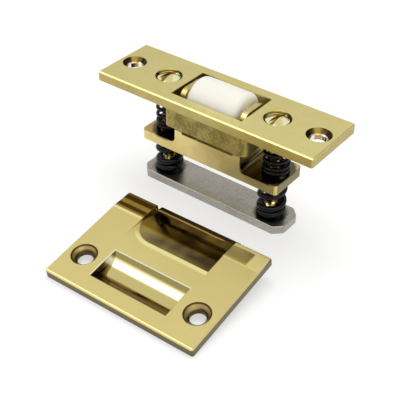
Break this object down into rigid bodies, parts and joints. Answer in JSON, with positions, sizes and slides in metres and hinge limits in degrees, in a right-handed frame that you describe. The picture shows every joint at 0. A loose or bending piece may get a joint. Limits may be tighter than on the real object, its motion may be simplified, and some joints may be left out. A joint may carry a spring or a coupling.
{
  "type": "roller catch",
  "caption": "Adjustable roller catch for a door edge: a sprung nylon roller in a brass face plate, with the brass strike that it drops into.",
  "frame": {"origin": "middle of the face plate's back face, halfway between its two fixing holes", "axes": "+X along the face plate, +Y across it away from the strike, +Z out of the door edge along the roller's travel"},
  "size_m": [0.0856, 0.0809, 0.0441],
  "materials": {
    "satin_brass": "satin",
    "cast_brass": "satin",
    "polished_brass": "polished",
    "screw_brass": "satin",
    "ivory_nylon": "satin",
    "black_spring_steel": "gloss",
    "bare_steel": "satin"
  },
  "bodies": {
    "case": {"face_plate": "satin_brass", "strike_plate": "polished_brass", "left_upper_spring": "black_spring_steel", "right_upper_spring": "black_spring_steel", "left_lower_spring": "black_spring_steel", "right_lower_spring": "black_spring_steel"},
    "carrier": {"roller_carrier": "cast_brass", "roller_axle": "bare_steel"},
    "roller": {"roller": "ivory_nylon"},
    "left_screw": {"left_adjusting_screw": "screw_brass"},
    "right_screw": {"right_adjusting_screw": "screw_brass"},
    "back_plate": {"back_plate": "bare_steel"}
  },
  "joints": [
    {"name": "carrier_slide", "type": "slide", "parent": "case", "child": "carrier", "axis": [0, 0, -1], "range_m": [-0.001, 0.0039], "stiffness_N_per_m": 12000, "deforming": ["left_upper_spring", "right_upper_spring", "left_lower_spring", "right_lower_spring"]},
    {"name": "roller_spin", "type": "hinge", "parent": "carrier", "child": "roller", "pos_m": [0.0005, 0, -0.0007], "axis": [1, 0, 0], "continuous": true},
    {"name": "back_plate_travel", "type": "slide", "parent": "case", "child": "back_plate", "axis": [0, 0, 1], "range_m": [-0.0008, 0.0008], "deforming": ["left_lower_spring", "right_lower_spring"]},
    {"name": "left_screw_turn", "type": "hinge", "parent": "case", "child": "left_screw", "pos_m": [-0.022, 0, 0], "axis": [0, 0, 1], "continuous": true},
    {"name": "right_screw_turn", "type": "hinge", "parent": "case", "child": "right_screw", "pos_m": [0.022, 0, 0], "axis": [0, 0, 1], "continuous": true}
  ],
  "couplings": [
    {"joint": "left_screw_turn", "follows": "back_plate_travel", "rad_per_m": -7915.8},
    {"joint": "right_screw_turn", "follows": "back_plate_travel", "rad_per_m": -7915.8}
  ]
}
